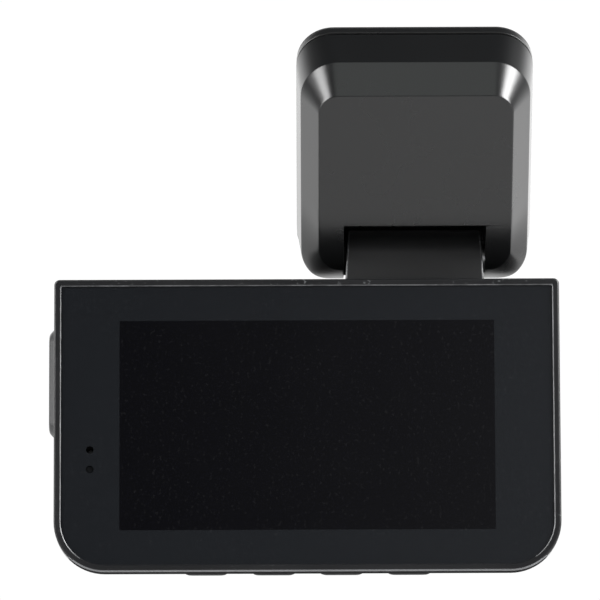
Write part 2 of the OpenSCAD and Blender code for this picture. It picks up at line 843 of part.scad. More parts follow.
adhesive_pad();
mount_base_plate();
mount_shell();
base_plate_screws();
hinge_pin();
wave_washer();
friction_washers();
hinge_neck();
barrel_bushes();
neck_screws();
neck_backing_plate();
rear_frame();
front_housing();
housing_screws();
display_glass();
glass_tape();
display_panel();
display_backlight();
display_tray();
tray_screws();
display_ribbon();
main_board();
board_screws();
board_chips();
board_connectors();
processor();
processor_shield();
thermal_pad();
heat_sink();
supercapacitors();
lens_bezel();
lens_barrel();
lens_front_element();
lens_inner_elements();
lens_holder();
lens_seal();
infrared_filter();
sensor_board();
image_sensor();
button_board();
tact_switches();
usb_socket();
card_socket();
memory_card();
port_cover();
port_cover_pin();
speaker();
speaker_mesh();
speaker_contacts();
microphone();
microphone_boot();
status_led();
led_light_pipe();
button_cap(button_x[0]);  // button_power
button_cap(button_x[1]);  // button_menu
button_cap(button_x[2]);  // button_ok
button_cap(button_x[3]);  // button_lock
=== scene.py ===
"""Dash camera on a tilting windshield mount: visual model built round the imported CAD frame."""

import json
import math

import bmesh
import bpy
from mathutils import Matrix, Vector


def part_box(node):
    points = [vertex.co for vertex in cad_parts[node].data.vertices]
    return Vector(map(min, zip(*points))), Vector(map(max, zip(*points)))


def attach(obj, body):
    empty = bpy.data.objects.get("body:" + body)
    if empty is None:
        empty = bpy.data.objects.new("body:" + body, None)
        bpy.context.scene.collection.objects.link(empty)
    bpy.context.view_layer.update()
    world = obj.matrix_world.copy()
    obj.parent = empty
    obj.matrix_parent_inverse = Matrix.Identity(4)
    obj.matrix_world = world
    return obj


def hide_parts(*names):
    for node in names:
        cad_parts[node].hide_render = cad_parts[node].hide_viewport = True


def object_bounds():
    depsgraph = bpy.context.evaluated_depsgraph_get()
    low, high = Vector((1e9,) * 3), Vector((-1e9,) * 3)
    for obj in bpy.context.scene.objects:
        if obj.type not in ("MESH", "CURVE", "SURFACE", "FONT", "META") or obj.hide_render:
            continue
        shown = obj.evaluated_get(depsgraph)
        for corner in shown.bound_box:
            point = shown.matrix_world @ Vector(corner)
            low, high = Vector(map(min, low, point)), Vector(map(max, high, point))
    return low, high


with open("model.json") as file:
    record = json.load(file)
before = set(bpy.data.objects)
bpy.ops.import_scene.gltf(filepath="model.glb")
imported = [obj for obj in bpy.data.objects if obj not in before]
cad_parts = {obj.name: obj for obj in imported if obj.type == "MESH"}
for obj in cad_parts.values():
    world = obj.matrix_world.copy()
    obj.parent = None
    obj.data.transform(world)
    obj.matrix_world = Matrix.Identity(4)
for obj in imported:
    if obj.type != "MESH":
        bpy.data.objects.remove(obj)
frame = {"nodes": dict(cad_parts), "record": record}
CAD_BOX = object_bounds()
RECORD = frame["record"]
MM = 0.001

# ------------------------------------------------------------------ the two part frames, in mm

GLASS_LOW, GLASS_HIGH = (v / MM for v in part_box("display_glass"))
# Camera frame: origin at the middle of the glass face, x right, y towards the lens, z up
CAMERA_AT = Vector(((GLASS_LOW.x + GLASS_HIGH.x) / 2, GLASS_LOW.y, (GLASS_LOW.z + GLASS_HIGH.z) / 2))
PAD_AXIS = Vector(next(m["axis"] for m in RECORD["mounts"] if m["name"] == "windshield_pad"))
# Mount frame: origin at the middle of the adhesive face, x sideways, y up the pad, z off the windshield
MOUNT_OUT = -PAD_AXIS.normalized()
MOUNT_UP = Vector((0, MOUNT_OUT.z, -MOUNT_OUT.y))


def in_camera(x, y, z):
    return (CAMERA_AT + Vector((x, y, z))) * MM


def in_mount(x, y, z):
    return (Vector((x, 0, 0)) + MOUNT_UP * y + MOUNT_OUT * z) * MM


def camera_box(node):
    """A node's box in the camera frame, in mm."""
    low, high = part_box(node)
    return low / MM - CAMERA_AT, high / MM - CAMERA_AT


# ------------------------------------------------------------------ mesh helpers


def mesh_object(name, points, faces, slots=None):
    """A linked object; slots gives each face's material index."""
    mesh = bpy.data.meshes.new(name)
    mesh.from_pydata([tuple(p) for p in points], [], faces)
    if slots:
        mesh.polygons.foreach_set("material_index", slots)
    work = bmesh.new()
    work.from_mesh(mesh)
    bmesh.ops.remove_doubles(work, verts=work.verts, dist=1e-7)
    bmesh.ops.recalc_face_normals(work, faces=work.faces)
    work.to_mesh(mesh)
    work.free()
    obj = bpy.data.objects.new(name, mesh)
    bpy.context.scene.collection.objects.link(obj)
    return obj


def loft(name, loops, caps=(True, True), closed=False, slot_of=None):
    """Quads between loops of equal length. Each loop is closed; with closed, the last joins the first."""
    count = len(loops[0])
    points = [p for loop in loops for p in loop]
    faces, slots = [], []
    for row in range(len(loops) - (0 if closed else 1)):
        after = (row + 1) % len(loops)
        for i in range(count):
            j = (i + 1) % count
            faces.append((row * count + i, row * count + j, after * count + j, after * count + i))
            slots.append(slot_of(row) if slot_of else 0)
    if not closed:
        if caps[0]:
            faces.append(tuple(reversed(range(count))))
            slots.append(slot_of(0) if slot_of else 0)
        if caps[1]:
            faces.append(tuple(range((len(loops) - 1) * count, len(loops) * count)))
            slots.append(slot_of(len(loops) - 2) if slot_of else 0)
    return mesh_object(name, points, faces, slots)


def outline(w, h, r_top, r_bottom, steps=14, side=6):
    """Rounded rectangle about the origin, anticlockwise from the right of the top right corner."""
    points = []
    corners = [(1, 1, r_top, 0), (-1, 1, r_top, 90), (-1, -1, r_bottom, 180), (1, -1, r_bottom, 270)]
    for index, (sx, sy, r, start) in enumerate(corners):
        cx, cy = sx * (w / 2 - r), sy * (h / 2 - r)
        arc = [
            (cx + r * math.cos(math.radians(start + 90 * i / steps)),
             cy + r * math.sin(math.radians(start + 90 * i / steps)))
            for i in range(steps + 1)
        ]
        points += arc
        nx, ny, nr, nstart = corners[(index + 1) % 4]
        first = (nx * (w / 2 - nr) + nr * math.cos(math.radians(nstart)),
                 ny * (h / 2 - nr) + nr * math.sin(math.radians(nstart)))
        for i in range(1, side):
            t = i / side
            points.append((arc[-1][0] * (1 - t) + first[0] * t, arc[-1][1] * (1 - t) + first[1] * t))
    return points


def arc_points(radius, start, end, steps):
    """Points of an arc about the origin, in degrees."""
    return [
        (radius * math.cos(math.radians(start + (end - start) * i / steps)),
         radius * math.sin(math.radians(start + (end - start) * i / steps)))
        for i in range(steps + 1)
    ]


def block(name, place, low, high):
    """A closed box between two corners of a part frame, for cutting."""
    corners = [
        place(x, y, z) for x in (low[0], high[0]) for y in (low[1], high[1]) for z in (low[2], high[2])
    ]
    faces = [(0, 1, 3, 2), (4, 6, 7, 5), (0, 4, 5, 1), (2, 3, 7, 6), (0, 2, 6, 4), (1, 5, 7, 3)]
    return mesh_object(name, corners, faces)


def turned(name, place, profile, steps=64, caps=(True, True)):
    """Loft of circles: profile is (along, radius) pairs and place maps (along, across, across)."""
    turns = [math.tau * i / steps for i in range(steps)]
    loops = [[place(a, r * math.cos(turn), r * math.sin(turn)) for turn in turns] for a, r in profile]
    return loft(name, loops, caps)


def join(objects):
    """One mesh of several closed meshes that don't touch."""
    points, faces = [], []
    for obj in objects:
        base = len(points)
        points += [v.co.copy() for v in obj.data.vertices]
        faces += [tuple(base + i for i in p.vertices) for p in obj.data.polygons]
        bpy.data.objects.remove(obj)
    return mesh_object("joined", points, faces)


def settle(obj):
    """Applies the modifiers."""
    bpy.context.view_layer.update()
    mesh = bpy.data.meshes.new_from_object(obj.evaluated_get(bpy.context.evaluated_depsgraph_get()))
    obj.modifiers.clear()
    old = obj.data
    obj.data = mesh
    bpy.data.meshes.remove(old)


def combine(obj, other, operation):
    """Applies a boolean with another object, which is used up."""
    mod = obj.modifiers.new("combine", "BOOLEAN")
    mod.operation = operation
    mod.solver = "EXACT"
    mod.object = other
    settle(obj)
    bpy.data.objects.remove(other)


def finish_edges(obj, width=0.0, segments=2, limit=40, sharp=42):
    """Rounds the edges sharper than limit degrees, then shades smooth with true flats."""
    if width:
        mod = obj.modifiers.new("round", "BEVEL")
        mod.width = width * MM
        mod.segments = segments
        mod.limit_method = "ANGLE"
        mod.angle_limit = math.radians(limit)
        mod.use_clamp_overlap = True
        mod.miter_outer = "MITER_ARC"
        settle(obj)
    mesh = obj.data
    mesh.polygons.foreach_set("use_smooth", [True] * len(mesh.polygons))
    mesh.set_sharp_from_angle(angle=math.radians(sharp))
    mod = obj.modifiers.new("flats", "WEIGHTED_NORMAL")
    mod.keep_sharp = True
    mod.weight = 60
    return obj


# ------------------------------------------------------------------ materials


class Nodes:
    """Short names for building a node material."""

    def __init__(self, name):
        self.mat = bpy.data.materials.new(name)
        self.mat.use_nodes = True
        self.tree = self.mat.node_tree
        self.shader = self.tree.nodes["Principled BSDF"]
        self.coord = self.tree.nodes.new("ShaderNodeTexCoord").outputs["Object"]

    def link(self, a, b):
        self.tree.links.new(a, b)

    def add(self, kind, **settings):
        node = self.tree.nodes.new(kind)
        for key, value in settings.items():
            setattr(node, key, value)
        return node

    def noise(self, scale, detail=4.0, roughness=0.55, stretch=None):
        node = self.add("ShaderNodeTexNoise")
        node.inputs["Scale"].default_value = scale
        node.inputs["Detail"].default_value = detail
        node.inputs["Roughness"].default_value = roughness
        source = self.coord
        if stretch:
            mapping = self.add("ShaderNodeMapping")
            mapping.inputs["Scale"].default_value = stretch
            self.link(self.coord, mapping.inputs["Vector"])
            source = mapping.outputs["Vector"]
        self.link(source, node.inputs["Vector"])
        return node.outputs["Fac"]

    def span(self, value, low, high, out_low, out_high):
        node = self.add("ShaderNodeMapRange", clamp=True)
        for name, number in zip(("From Min", "From Max", "To Min", "To Max"), (low, high, out_low, out_high)):
            node.inputs[name].default_value = number
        self.link(value, node.inputs["Value"])
        return node.outputs["Result"]

    def maths(self, operation, a, b):
        node = self.add("ShaderNodeMath", operation=operation)
        for socket, value in zip(node.inputs, (a, b)):
            if isinstance(value, (int, float)):
                socket.default_value = value
            else:
                self.link(value, socket)
        return node.outputs[0]

    def mix(self, factor, a, b):
        node = self.add("ShaderNodeMix", data_type="RGBA")
        self.link(factor, node.inputs["Factor"])
        for socket, value in ((node.inputs[6], a), (node.inputs[7], b)):
            if isinstance(value, (tuple, list)):
                socket.default_value = (*value, 1.0)
            else:
                self.link(value, socket)
        return node.outputs[2]

    def bump(self, height, strength, distance):
        node = self.add("ShaderNodeBump")
        node.inputs["Strength"].default_value = strength
        node.inputs["Distance"].default_value = distance * MM
        self.link(height, node.inputs["Height"])
        return node.outputs["Normal"]

    def set(self, **values):
        for name, value in values.items():
            socket = self.shader.inputs[name.replace("_", " ")]
            if isinstance(value, (int, float)):
                socket.default_value = value
            elif isinstance(value, tuple):
                socket.default_value = (*value, 1.0)
            else:
                self.link(value, socket)
        return self.mat


def moulded(name, color, rough, grain=2600.0, depth=0.012, tone=0.16, specks=0.0, gloss_spread=0.07,
            specular=0.5):
    """Moulded plastic: fine spark-eroded grain, slight cloudiness, and a few pale specks."""
    n = Nodes(name)
    cloud = n.noise(55.0, 3.0)
    fine = n.noise(grain, 2.0, 0.6)
    low = tuple(c * (1 - tone) for c in color)
    high = tuple(c * (1 + tone) for c in color)
    base = n.mix(n.span(cloud, 0.2, 0.8, 0.0, 1.0), low, high)
    base = n.mix(n.span(fine, 0.35, 0.7, 0.0, 0.5), base, tuple(c * (1 + 2.2 * tone) for c in color))
    roughness = n.span(cloud, 0.2, 0.8, rough - gloss_spread, rough + gloss_spread)
    # A few pale specks scattered in patches over the base colour
    if specks:
        dots = n.noise(1500.0, 1.0, 0.5)
        patch = n.noise(130.0, 2.0, 0.5)
        mask = n.maths("MULTIPLY", n.span(dots, 0.66, 0.74, 0.0, 1.0), n.span(patch, 0.5, 0.62, 0.0, specks))
        base = n.mix(mask, base, (0.16, 0.165, 0.17))
    return n.set(
        Base_Color=base, Roughness=roughness, Specular_IOR_Level=specular, Normal=n.bump(fine, 0.5, depth)
    )


def metal(name, color, rough, stretch=None, grain=900.0, metallic=1.0, tone=0.12):
    """Worn or brushed metal with fine streaks and a little dulling."""
    n = Nodes(name)
    streak = n.noise(grain, 5.0, 0.65, stretch)
    cloud = n.noise(160.0, 3.0)
    low = tuple(c * (1 - tone) for c in color)
    base = n.mix(n.span(streak, 0.3, 0.7, 0.0, 1.0), low, color)
    base = n.mix(n.span(cloud, 0.45, 0.75, 0.0, 0.5), base, tuple(c * (1 - 2 * tone) for c in color))
    roughness = n.span(streak, 0.3, 0.7, rough - 0.06, rough + 0.08)
    return n.set(Base_Color=base, Metallic=metallic, Roughness=roughness, Normal=n.bump(streak, 0.3, 0.01))


def clear(name, color, rough, transmission, ior=1.5, coat=0.0):
    """Clear or tinted glass and plastic with faint handling marks."""
    n = Nodes(name)
    smear = n.noise(90.0, 4.0, 0.6)
    dust = n.noise(1800.0, 1.0)
    base = n.mix(n.span(dust, 0.62, 0.72, 0.0, 0.3), color, tuple(min(1.0, c * 1.4 + 0.01) for c in color))
    roughness = n.span(smear, 0.35, 0.7, rough, rough + 0.04)
    return n.set(
        Base_Color=base, Roughness=roughness, Transmission_Weight=transmission, IOR=ior, Coat_Weight=coat,
        Normal=n.bump(smear, 0.08, 0.01)
    )


def broken_highlight(name, dark, pale, rough):
    """A thin edge with a painted highlight: pale colour in short broken runs where the light catches it."""
    n = Nodes(name)
    runs = n.noise(420.0, 3.0, 0.6)
    fine = n.noise(2600.0, 2.0)
    # Painted highlight: the pale runs stand in for light caught along the edge
    mask = n.maths("MULTIPLY", n.span(runs, 0.4, 0.6, 0.25, 1.0), n.span(fine, 0.35, 0.6, 0.45, 1.0))
    return n.set(Base_Color=n.mix(mask, dark, pale), Roughness=rough, Normal=n.bump(fine, 0.4, 0.01))


CASE = moulded("case_plastic", (0.0062, 0.0064, 0.0071), 0.36, specks=0.4, specular=0.34)
UNDERSIDE = moulded("matt_underside", (0.006, 0.0061, 0.0064), 0.82, specular=0.02)
NECK = moulded("neck_plastic", (0.012, 0.0122, 0.0128), 0.42)
# Painted highlight: a pale colour on the outer rounding along the bottom edge stands in for the light it
# catches
BOTTOM_HIGHLIGHT = moulded("painted_bottom_highlight", (0.14, 0.142, 0.148), 0.3, depth=0.004)
COVER = moulded("cover_plastic", (0.02, 0.0204, 0.021), 0.36, depth=0.006)
# Painted highlight on thin chamfers: pale broken runs over dark plastic
EDGE_HIGHLIGHT = broken_highlight("painted_edge_highlight", (0.02, 0.0205, 0.022), (0.13, 0.132, 0.137), 0.4)
SHELL = moulded("mount_plastic", (0.0045, 0.0047, 0.005), 0.28, depth=0.004, gloss_spread=0.02, tone=0.06,
                specular=0.49)
BUTTON = moulded("button_plastic", (0.016, 0.0163, 0.017), 0.5, depth=0.006, specular=0.03)
MASK = clear("glass_border", (0.006, 0.0068, 0.0082), 0.10, 0.0, 1.5)
SCREEN = clear("glass_over_panel", (0.0008, 0.0008, 0.0015), 0.09, 0.0, 1.5)
TAPE = moulded("foam_tape", (0.016, 0.016, 0.0165), 0.85, 1300.0, 0.03, specular=0.2)
RUBBER = moulded("seal_rubber", (0.016, 0.016, 0.016), 0.7, 1900.0, 0.02, specular=0.12)

SLOT_MATERIALS = {
    "case_plastic": CASE,
    "mount_plastic": SHELL,
    "button_plastic": BUTTON,
    "cover_glass": MASK,
    "panel": clear("panel", (0.004, 0.004, 0.006), 0.08, 0.0),
    "foam_tape": TAPE,
    "seal_rubber": RUBBER,
    "steel": metal("steel", (0.52, 0.53, 0.54), 0.32, (1.0, 1.0, 9.0)),
    "black_steel": metal("black_steel", (0.035, 0.035, 0.037), 0.38, metallic=0.6),
    "tin_plate": metal("tin_plate", (0.26, 0.265, 0.27), 0.42, (1.0, 8.0, 1.0)),
    "aluminium": metal("aluminium", (0.58, 0.59, 0.6), 0.36, (1.0, 8.0, 1.0)),
    "anodised": metal("anodised", (0.02, 0.0205, 0.022), 0.42, metallic=0.35),
    "bush_plastic": moulded("bush_plastic", (0.62, 0.6, 0.55), 0.5, tone=0.06),
    "circuit_board": moulded("circuit_board", (0.012, 0.075, 0.034), 0.35, 420.0, 0.02, tone=0.3),
    "chip_plastic": moulded("chip_plastic", (0.018, 0.018, 0.02), 0.6, 2400.0),
    "connector_plastic": moulded("connector_plastic", (0.5, 0.47, 0.38), 0.5, tone=0.08),
    "ribbon_film": moulded("ribbon_film", (0.28, 0.11, 0.02), 0.3, 300.0, 0.01),
    "white_film": moulded("white_film", (0.72, 0.73, 0.72), 0.5, tone=0.04),
    "thermal_rubber": moulded("thermal_rubber", (0.18, 0.25, 0.32), 0.8, 1300.0, 0.02),
    "lens_glass": clear("lens_glass", (0.10, 0.07, 0.16), 0.02, 0.55, 1.6, 0.6),
    "filter_glass": clear("filter_glass", (0.16, 0.06, 0.1), 0.04, 0.3),
    "sensor_glass": clear("sensor_glass", (0.03, 0.06, 0.07), 0.08, 0.0),
    "capacitor_sleeve": moulded("capacitor_sleeve", (0.02, 0.035, 0.075), 0.35, 500.0, 0.01),
    "gold_plate": metal("gold_plate", (0.72, 0.5, 0.2), 0.28),
    "clear_plastic": moulded("clear_plastic", (0.004, 0.0042, 0.0046), 0.6, specular=0.0),
}


def dress(obj, *materials):
    """Gives obj these materials and keeps which face has which."""
    faces = obj.data.polygons
    which = [0] * len(faces)
    faces.foreach_get("material_index", which)
    obj.data.materials.clear()
    for material in materials:
        obj.data.materials.append(material)
    faces.foreach_set("material_index", [min(i, len(materials) - 1) for i in which])
    return obj


def stand_in(obj, body, node, slot, *materials):
    """A finished piece that replaces a CAD node."""
    dress(obj, *materials)
    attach(obj, body)
    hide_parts(node)
    return obj


# ------------------------------------------------------------------ windshield mount

# The face: a flat, then a soft bend at BEND_AT, then a ramp down to its lower edge
FLAT_Z, FLAT_HALF, FLAT_TOP = 17.2, 17.05, 19.2
RAMP_END, RAMP_END_Z = -18.0, 14.5
BEND_AT, BEND_REACH = -6.2, 2.4
# Its corners: round at the top, elliptical at the bottom
TOP_R = 3.6
LOW_RX, LOW_RY = 3.75, 4.98
# The ring reaches this far out, and ends on a shoulder at the sides and top and on a chin at the bottom
RING_REACH, TOP_REACH = 3.2, 3.35
LOW_DRIFT = 3.0
SHOULDER_Z = 10.9
CHIN_Y, CHIN_Z = -23.4, 9.0
# The wall's foot, which stands on the base plate
FOOT_HALF, FOOT_Y = 21.0, (-23.5, 23.4)
FOOT_TOP_R, FOOT_LOW_R = 6.5, 7.2
SHELL_BACK, SEAM = 2.5, 0.08
CORNER_STEPS, EDGE_STEPS = 18, 9
NOTCH_HALF, NOTCH_TOP, NOTCH_FLOOR = 12.6, -7.5, 5.0
RAMP_ANGLE = math.atan2(FLAT_Z - RAMP_END_Z, BEND_AT - RAMP_END)
BEND_R = BEND_REACH / math.tan(RAMP_ANGLE / 2)
BEND_START = BEND_AT + BEND_REACH
BEND_END = BEND_START - BEND_R * math.sin(RAMP_ANGLE)


def face_height(y):
    """Height of the mount's face above the windshield: flat, a soft bend, then a ramp."""
    if y >= BEND_START:
        return FLAT_Z
    if y <= BEND_END:
        return RAMP_END_Z + (y - RAMP_END) * math.tan(RAMP_ANGLE)
    return FLAT_Z - BEND_R + math.sqrt(BEND_R ** 2 - (BEND_START - y) ** 2)


def mount_perimeter():
    """Columns round the face, anticlockwise from the bottom of its right side."""
    bend = [BEND_START + (BEND_END - BEND_START) * i / 14 for i in range(15)]
    top_y, low_y = FLAT_TOP - TOP_R, RAMP_END + LOW_RY
    up = [low_y + (BEND_END - low_y) * i / 6 for i in range(6)] + bend[::-1]
    up += [BEND_START + (top_y - BEND_START) * i / 8 for i in range(1, 8)]

    def side_point(y):
        drift = max(0.0, (BEND_START - y) / (BEND_START - low_y))
        outer = Vector((FLAT_HALF + RING_REACH, y - LOW_DRIFT * drift ** 3))
        return edge_point(Vector((FLAT_HALF, y)), outer, SHOULDER_Z)

    points = [side_point(y) for y in up]
    for i in range(21):
        a = math.radians(90 * i / 20)
        c, s = math.cos(a), math.sin(a)
        inner = Vector((FLAT_HALF - TOP_R + TOP_R * c, top_y + TOP_R * s))
        outer = Vector((inner.x + RING_REACH * c, inner.y + TOP_REACH * s))
        points.append(edge_point(inner, outer, SHOULDER_Z))
    side = list(points)
    half = FLAT_HALF - TOP_R
    for i in range(1, EDGE_STEPS + 1):
        inner = Vector((half - 2 * half * i / (EDGE_STEPS + 1), FLAT_TOP))
        points.append(edge_point(inner, inner + Vector((0, TOP_REACH)), SHOULDER_Z))
    points += [mirrored(point) for point in reversed(side)]
    corner, half, chin_start = [], FLAT_HALF - LOW_RX, low_y - LOW_DRIFT
    for i in range(1, CORNER_STEPS + 1):
        a = math.radians(90 * i / CORNER_STEPS)
        c, s = math.cos(a), math.sin(a)
        inner = Vector((half + LOW_RX * c, low_y - LOW_RY * s))
        outer = Vector((half + (LOW_RX + RING_REACH) * c, chin_start + (CHIN_Y - chin_start) * s))
        # The shoulder falls to the chin in the last part of the corner
        fall = min(1.0, max(0.0, (math.degrees(a) - 38) / 52))
        low = fall * fall * (3 - 2 * fall)
        z = SHOULDER_Z + (CHIN_Z - SHOULDER_Z) * low
        corner.append(edge_point(inner, outer, z, math.sqrt(s)))
    points += [mirrored(point) for point in corner]
    for i in range(1, EDGE_STEPS + 1):
        inner = Vector((-half + 2 * half * i / (EDGE_STEPS + 1), RAMP_END))
        points.append(edge_point(inner, Vector((inner.x, CHIN_Y)), CHIN_Z, 1.0))
    points += reversed(corner)
    return points


def edge_point(inner, outer, z, low=0.0):
    """A column of the ring: inner point, direction, first and last slope, reach, share of roll over."""
    reach = (outer - inner).length
    away = (outer - inner) / reach
    mean = math.degrees(math.atan2(face_height(inner.y) - z, reach))
    return inner, away, mean - 5 * low, mean + 7 * low, reach, low


def mirrored(point):
    """The same column on the other side of the mount."""
    inner, away, *rest = point
    return (Vector((-inner.x, inner.y)), Vector((-away.x, away.y)), *rest)


def ring_section(first, last, reach, outer_r):
    """The sloping ring and its outer edge, as (outwards, below the face) in mm from the face's edge."""
    inner_r, steps, pieces, wall = 0.3, 5, 12, 86.0
    points = [(-0.6, 0.0)]
    tangent = inner_r * math.tan(math.radians(first / 2))
    for i in range(steps + 1):
        a = math.radians(first * i / steps)
        points.append((inner_r * math.sin(a) - tangent, inner_r * (math.cos(a) - 1)))
    x, z = points[-1]
    tangent = outer_r * math.tan(math.radians((wall - last) / 2))
    dx = (reach - tangent * math.cos(math.radians(last)) - x) / pieces
    for i in range(pieces):
        a = math.radians(first + (last - first) * (i + 0.5) / pieces)
        x, z = x + dx, z - dx * math.tan(a)
        points.append((x, z))
    a0 = math.radians(last)
    cx, cz = x - outer_r * math.sin(a0), z - outer_r * math.cos(a0)
    for i in range(1, 7):
        a = math.radians(last + (wall - last) * i / 6)
        points.append((cx + outer_r * math.sin(a), cz + outer_r * math.cos(a)))
    return points


def wall_foot(x, y):
    """Outward direction of the shell's rounded outline beside a point, and the outline's nearest point."""
    radius = FOOT_TOP_R if y > 0 else FOOT_LOW_R
    low, high = FOOT_Y
    core = Vector((min(max(x, radius - FOOT_HALF), FOOT_HALF - radius),
                   min(max(y, low + radius), high - radius)))
    out = (Vector((x, y)) - core).normalized()
    return out, core + out * radius


def shell_column(inner, away, first, last, reach, low):
    """Points in mm from the face's edge out over the ring and down the wall to its foot."""
    column = []
    for d, dz in ring_section(first, last, reach, 0.9 + 0.2 * low):
        at = inner + away * d
        column.append((at.x, at.y, face_height(at.y if d < 0 else inner.y) + dz))
    px, py, pz = column[-1]
    # The wall leans out to its foot, square to the outline
    out, foot = wall_foot(px, py)
    for t in (0.33, 0.66, 1.0):
        z = pz + (SHELL_BACK + SEAM - pz) * t
        column.append((px + (foot.x - px) * t, py + (foot.y - py) * t, z))
    column.append((foot.x - out.x * SEAM, foot.y - out.y * SEAM, SHELL_BACK + 0.01))
    return column


def make_shell():
    columns = [shell_column(*point) for point in mount_perimeter()]
    loops = [[in_mount(*column[row]) for column in columns] for row in range(len(columns[0]))]
    skin = loft("mount_shell_skin", loops, caps=(False, True))
    points = [v.co.copy() for v in skin.data.vertices]
    faces = [tuple(p.vertices) for p in skin.data.polygons]
    bpy.data.objects.remove(skin)

    def key(point):
        return tuple(round(c * 1e7) for c in point)

    index = {key(p): i for i, p in enumerate(points)}
    edge = [index[key(p)] for p in loops[0]]
    # Order round the edge: right side and top corner, top, left, lower left corner, bottom, lower right
    side = (len(edge) - 2 * CORNER_STEPS - 2 * EDGE_STEPS) // 2
    right, rest = edge[:side], edge[side:]
    top, rest = rest[:EDGE_STEPS], rest[EDGE_STEPS:]
    left, rest = rest[:side + CORNER_STEPS], rest[side + CORNER_STEPS:]
    bottom, low_right = rest[:EDGE_STEPS], rest[EDGE_STEPS:]
    # The face is strips across, from the bottom of both sides to the top
    pairs = list(zip(low_right + right, reversed(left)))
    for (r0, l0), (r1, l1) in zip(pairs, pairs[1:]):
        faces.append((r0, r1, l1, l0))
    faces.append((pairs[-1][0], *top, pairs[-1][1]))
    faces.append((pairs[0][1], *bottom, pairs[0][0]))
    return mesh_object("shell", points, faces)


shell = make_shell()
notch = block("notch", in_mount, (-NOTCH_HALF, -26, NOTCH_FLOOR), (NOTCH_HALF, NOTCH_TOP, 20))
combine(shell, notch, "DIFFERENCE")
finish_edges(shell, 0.16, 2, 50)
stand_in(shell, "mount", "mount_shell", "mount_plastic", SHELL)


def slab(name, place, w, h, r, low, high, edge):
    """Flat rounded slab in the mount frame with softened edges."""
    turns = [math.radians(angle) for angle in (0, 30, 60, 90)]
    rows = [(edge * (1 - math.sin(a)), low + edge * (1 - math.cos(a))) for a in turns]
    rows += [(edge * (1 - math.sin(a)), high - edge * (1 - math.cos(a))) for a in reversed(turns)]
    return loft(name, [
        [place(x, y, z) for x, y in outline(w - 2 * inset, h - 2 * inset, r - inset, r - inset, 18)]
        for inset, z in rows
    ])


plate = slab("base_plate", in_mount, 41.9, 47.6, 6.7, 0.8, 2.5, 0.12)
finish_edges(plate)
stand_in(plate, "mount", "mount_base_plate", "mount_plastic", SHELL)
pad = slab("pad", in_mount, 41.8, 47.1, 6.6, 0.0, 0.8, 0.12)
finish_edges(pad)
stand_in(pad, "mount", "adhesive_pad", "foam_tape", TAPE)

# ------------------------------------------------------------------ neck

NECK_LOW, NECK_HIGH = camera_box("hinge_neck")
NECK_X = (NECK_LOW.x + NECK_HIGH.x) / 2
BARREL_R = (NECK_HIGH.y - NECK_LOW.y) / 2
AXIS_Y = (NECK_HIGH.y + NECK_LOW.y) / 2
AXIS_Z = NECK_HIGH.z - BARREL_R
# Half widths at the neck's foot and top, and the radii of its bore and of the washers' seats
NECK_FOOT, NECK_TOP = 12.4, 11.8
BORE_R, SEAT_R = 2.4, 3.5


def make_neck():
    def half(z):
        t = (z - NECK_LOW.z) / (NECK_HIGH.z - NECK_LOW.z)
        return NECK_FOOT + (NECK_TOP - NECK_FOOT) * t

    def profile(inset):
        r = BARREL_R - inset
        arc = [(AXIS_Y + y, AXIS_Z + z) for y, z in arc_points(r, 0, 180, 28)]
        foot = NECK_LOW.z
        front = [(AXIS_Y - r, AXIS_Z + (foot - AXIS_Z) * i / 5) for i in range(1, 6)]
        back = [(AXIS_Y + r, foot + (AXIS_Z - foot) * i / 5) for i in range(5)]
        floor = [(AXIS_Y - r + 2 * r * i / 8, foot) for i in range(1, 8)]
        return arc + front + floor + back

    chamfer = 0.35
    steps = [(-1, 1.0, 0.0), (-1, 0.45, 0.12), (-1, 0.12, 0.45), (-1, 0.0, 1.0)]
    loops = []
    for side in (-1, 1):
        order = steps if side < 0 else steps[::-1]
        for _, inward, along in order:
            points = profile(chamfer * inward)
            loops.append([
                in_camera(NECK_X + side * (half(z) - chamfer * along), y, z) for y, z in points
            ])
    # The chamfer rows at both ends take the painted edge highlight
    obj = loft("neck", loops, slot_of=lambda row: 1 if row in (1, 2, 4, 5) else 0)
    along_x = lambda a, b, c: in_camera(a, AXIS_Y + b, AXIS_Z + c)
    combine(obj, turned("bore", along_x, [(NECK_X - 14, BORE_R), (NECK_X + 14, BORE_R)], 48), "DIFFERENCE")
    for side in (-1, 1):
        seat = [(NECK_X + side * 11.0, SEAT_R), (NECK_X + side * 14.0, SEAT_R)]
        combine(obj, turned("seat", along_x, seat, 48), "DIFFERENCE")
    return obj


neck = make_neck()
finish_edges(neck)
# The neck's chamfers carry the painted edge highlight
stand_in(neck, "camera", "hinge_neck", "case_plastic", NECK, EDGE_HIGHLIGHT)

# ------------------------------------------------------------------ rear frame and glass

BODY_W, BODY_H = 89.6, 52.2
TOP_CORNER, LOW_CORNER = 1.0, 9.0
FRAME_DEPTH = 3.4
FRAME_WINDOW = (70.4, 42.0)
# The rim stands this far proud of the glass
LIP = 0.3
# The two small holes in the border
DOT_X, MIC_Z, LED_Z = -38.43, -4.32, -7.82


def body_loop(inset, y, rise=0.0, low_r=LOW_CORNER, steps=16):
    """The body's outline at one depth; rise lifts its underside."""
    h = BODY_H - 2 * inset - rise
    top_r = max(TOP_CORNER - inset, 0.3)
    return [
        in_camera(x, y, z + rise / 2)
        for x, z in outline(BODY_W - 2 * inset, h, top_r, max(low_r - inset, 0.3), steps)
    ]


